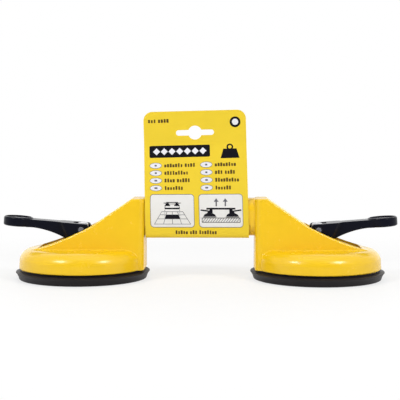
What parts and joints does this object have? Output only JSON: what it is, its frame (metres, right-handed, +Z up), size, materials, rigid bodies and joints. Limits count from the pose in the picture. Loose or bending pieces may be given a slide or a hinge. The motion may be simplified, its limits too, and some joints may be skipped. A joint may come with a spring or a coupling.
{
  "type": "floor tile suction lifter",
  "caption": "Double suction lifter: round rubber vacuum pads under domed yellow housings, joined by a bridge handle, each pulled up by a black cam lever; retail card on the handle.",
  "frame": {"origin": "on the tile surface, midway between the two pads, under the middle of the handle", "axes": "+X along the handle through both pad axes, +Y to the back, +Z up away from the tile"},
  "size_m": [0.3538, 0.12, 0.1509],
  "materials": {
    "yellow_plastic": "satin moulded ABS",
    "black_plastic": "satin moulded nylon",
    "natural_plastic": "natural acetal",
    "rubber": "matte moulded rubber",
    "bright_steel": "turned",
    "zinc_steel": "zinc plated",
    "card": "printed cardboard"
  },
  "bodies": {
    "frame": {"frame_moulding": "yellow_plastic", "handle_cover": "yellow_plastic", "cover_screws": "zinc_steel", "hang_card": "card", "wear_plate_right": "zinc_steel", "wear_plate_screws_right": "zinc_steel", "guide_bush_right": "natural_plastic", "suction_pad_right": "rubber", "wear_plate_left": "zinc_steel", "wear_plate_screws_left": "zinc_steel", "guide_bush_left": "natural_plastic", "suction_pad_left": "rubber"},
    "stud_right": {"draw_stud_right": "bright_steel", "pivot_pin_right": "bright_steel", "pin_clips_right": "zinc_steel", "pad_plate_right": "zinc_steel", "stud_nut_right": "zinc_steel"},
    "lever_right": {"lever_right": "black_plastic"},
    "stud_left": {"draw_stud_left": "bright_steel", "pivot_pin_left": "bright_steel", "pin_clips_left": "zinc_steel", "pad_plate_left": "zinc_steel", "stud_nut_left": "zinc_steel"},
    "lever_left": {"lever_left": "black_plastic"}
  },
  "joints": [
    {"name": "stud_right_slide", "type": "slide", "parent": "frame", "child": "stud_right", "axis": [0, 0, -1], "range_m": [0, 0.006], "deforming": ["suction_pad_right"]},
    {"name": "lever_right_hinge", "type": "hinge", "parent": "stud_right", "child": "lever_right", "pos_m": [0.1054, 0, 0.044], "axis": [0, -1, 0], "range_deg": [0, 95]},
    {"name": "stud_left_slide", "type": "slide", "parent": "frame", "child": "stud_left", "axis": [0, 0, -1], "range_m": [0, 0.006], "deforming": ["suction_pad_left"]},
    {"name": "lever_left_hinge", "type": "hinge", "parent": "stud_left", "child": "lever_left", "pos_m": [-0.1054, 0, 0.044], "axis": [0, 1, 0], "range_deg": [0, 95]}
  ],
  "couplings": [
    {"joint": "lever_right_hinge", "follows": "stud_right_slide", "rad_per_m": 276.34},
    {"joint": "lever_left_hinge", "follows": "stud_left_slide", "rad_per_m": 276.34}
  ]
}
